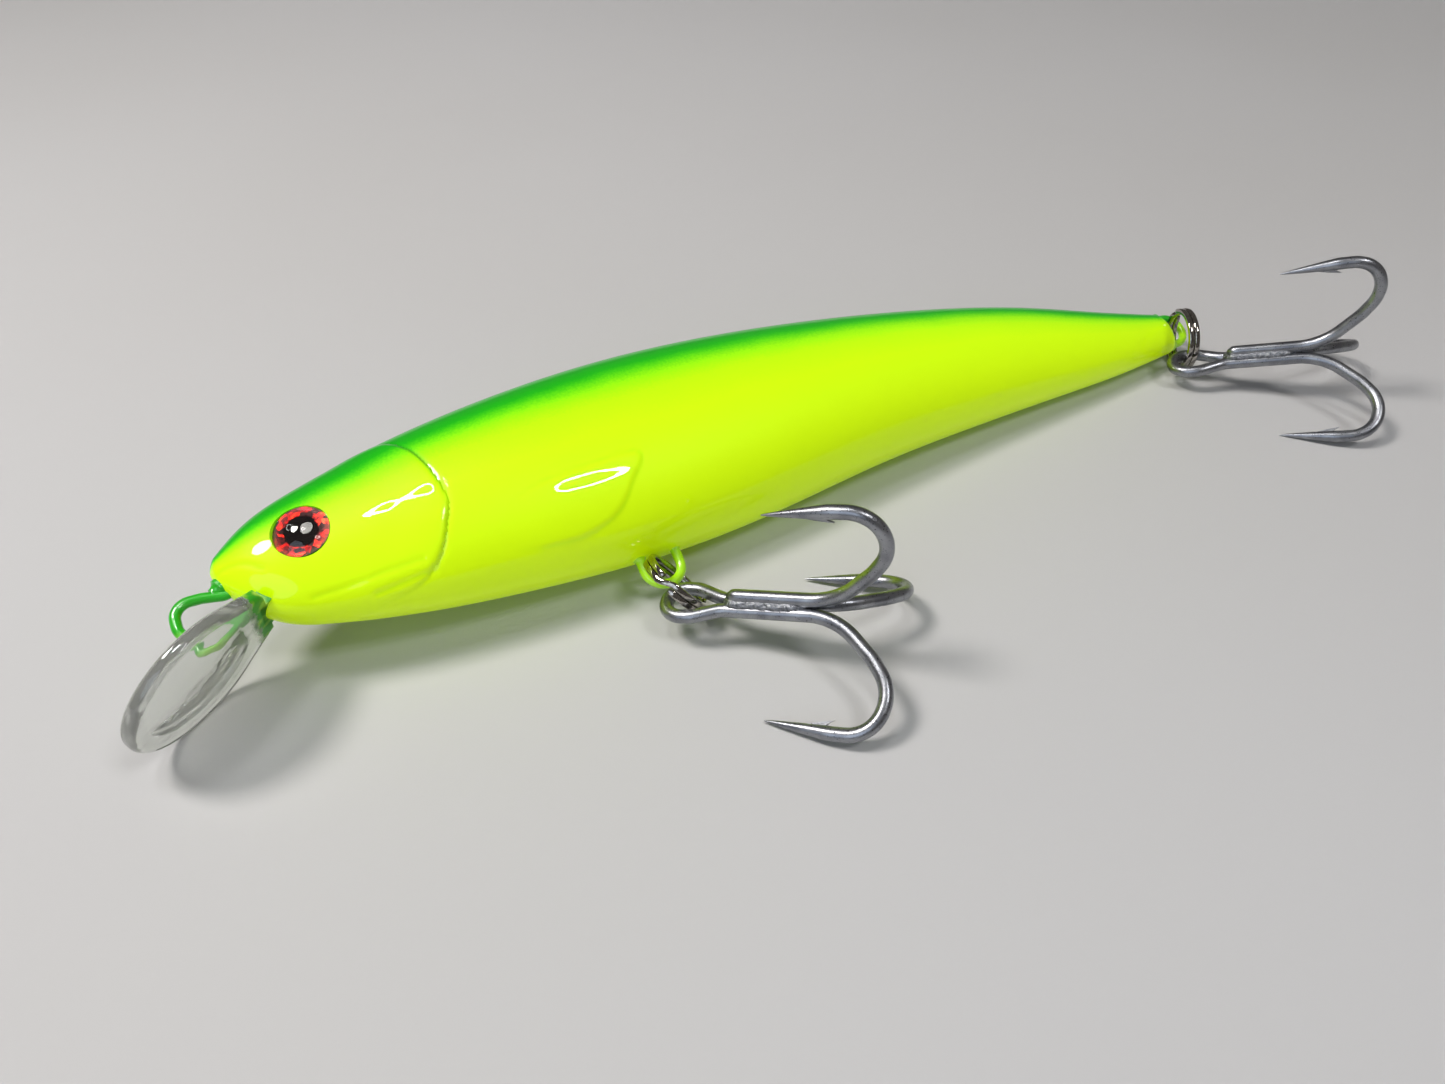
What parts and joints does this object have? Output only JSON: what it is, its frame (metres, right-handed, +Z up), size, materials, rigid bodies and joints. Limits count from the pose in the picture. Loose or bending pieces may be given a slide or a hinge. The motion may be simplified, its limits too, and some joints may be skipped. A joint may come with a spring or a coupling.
{
  "type": "crankbait lure",
  "caption": "Long minnow-shaped diving lure with clear lip, through-wire, rattle balls and two treble hooks on split rings, lying on its side.",
  "frame": {"origin": "bottom centre of the bounding box of the lure as it lies on its right side on a table", "axes": "+X from the nose towards the tail along the lure, +Y across the table on the side of the lure's back, +Z up from the table"},
  "size_m": [0.202, 0.0678, 0.0265],
  "materials": {
    "painted_shell": "gloss",
    "clear_lip": "clear gloss",
    "painted_wire": "gloss",
    "foil": "holographic",
    "clear_lens": "clear gloss",
    "ballast_metal": "matt",
    "bearing_steel": "polished",
    "nickel_spring": "bright",
    "tinned_hook": "satin",
    "braze_metal": "grainy"
  },
  "bodies": {
    "lure_body": {"left_body_shell": "painted_shell", "right_body_shell": "painted_shell", "diving_lip": "clear_lip", "through_wire": "painted_wire", "left_eye_foil": "foil", "right_eye_foil": "foil", "left_eye_lens": "clear_lens", "right_eye_lens": "clear_lens", "front_ballast": "ballast_metal", "rear_ballast": "ballast_metal"},
    "front_ball": {"front_rattle_ball": "bearing_steel"},
    "middle_ball": {"middle_rattle_ball": "bearing_steel"},
    "rear_ball": {"rear_rattle_ball": "bearing_steel"},
    "belly_ring": {"belly_split_ring": "nickel_spring"},
    "belly_treble": {"belly_double_hook": "tinned_hook", "belly_single_hook": "tinned_hook", "belly_hook_braze": "braze_metal"},
    "tail_ring": {"tail_split_ring": "nickel_spring"},
    "tail_treble": {"tail_double_hook": "tinned_hook", "tail_single_hook": "tinned_hook", "tail_hook_braze": "braze_metal"}
  },
  "joints": [
    {"name": "front_ball_roll", "type": "slide", "parent": "lure_body", "child": "front_ball", "axis": [0.0586, -0.4179, 0.9066], "range_m": [0, 0.00492]},
    {"name": "middle_ball_roll", "type": "slide", "parent": "lure_body", "child": "middle_ball", "axis": [0.0586, -0.4179, 0.9066], "range_m": [0, 0.00742]},
    {"name": "rear_ball_roll", "type": "slide", "parent": "lure_body", "child": "rear_ball", "axis": [0.0586, -0.4179, 0.9066], "range_m": [0, 0.00717]},
    {"name": "belly_ring_swing", "type": "hinge", "parent": "lure_body", "child": "belly_ring", "pos_m": [-0.03098, 0.00091, 0.00376], "axis": [0.6171, 0.5941, 0.5161], "range_deg": [0, 60]},
    {"name": "belly_treble_swing", "type": "hinge", "parent": "belly_ring", "child": "belly_treble", "pos_m": [-0.0326, -0.0061, 0.00522], "axis": [0.173, -0.176, -0.9691], "range_deg": [-10, 75]},
    {"name": "tail_ring_swing", "type": "hinge", "parent": "lure_body", "child": "tail_ring", "pos_m": [0.07385, 0.01519, 0.0038], "axis": [0.9727, -0.2129, -0.092], "range_deg": [-20, 60]},
    {"name": "tail_treble_swing", "type": "hinge", "parent": "tail_ring", "child": "tail_treble", "pos_m": [0.07175, 0.00806, 0.00341], "axis": [0.225, 0.327, -0.9179], "range_deg": [-10, 75]}
  ]
}
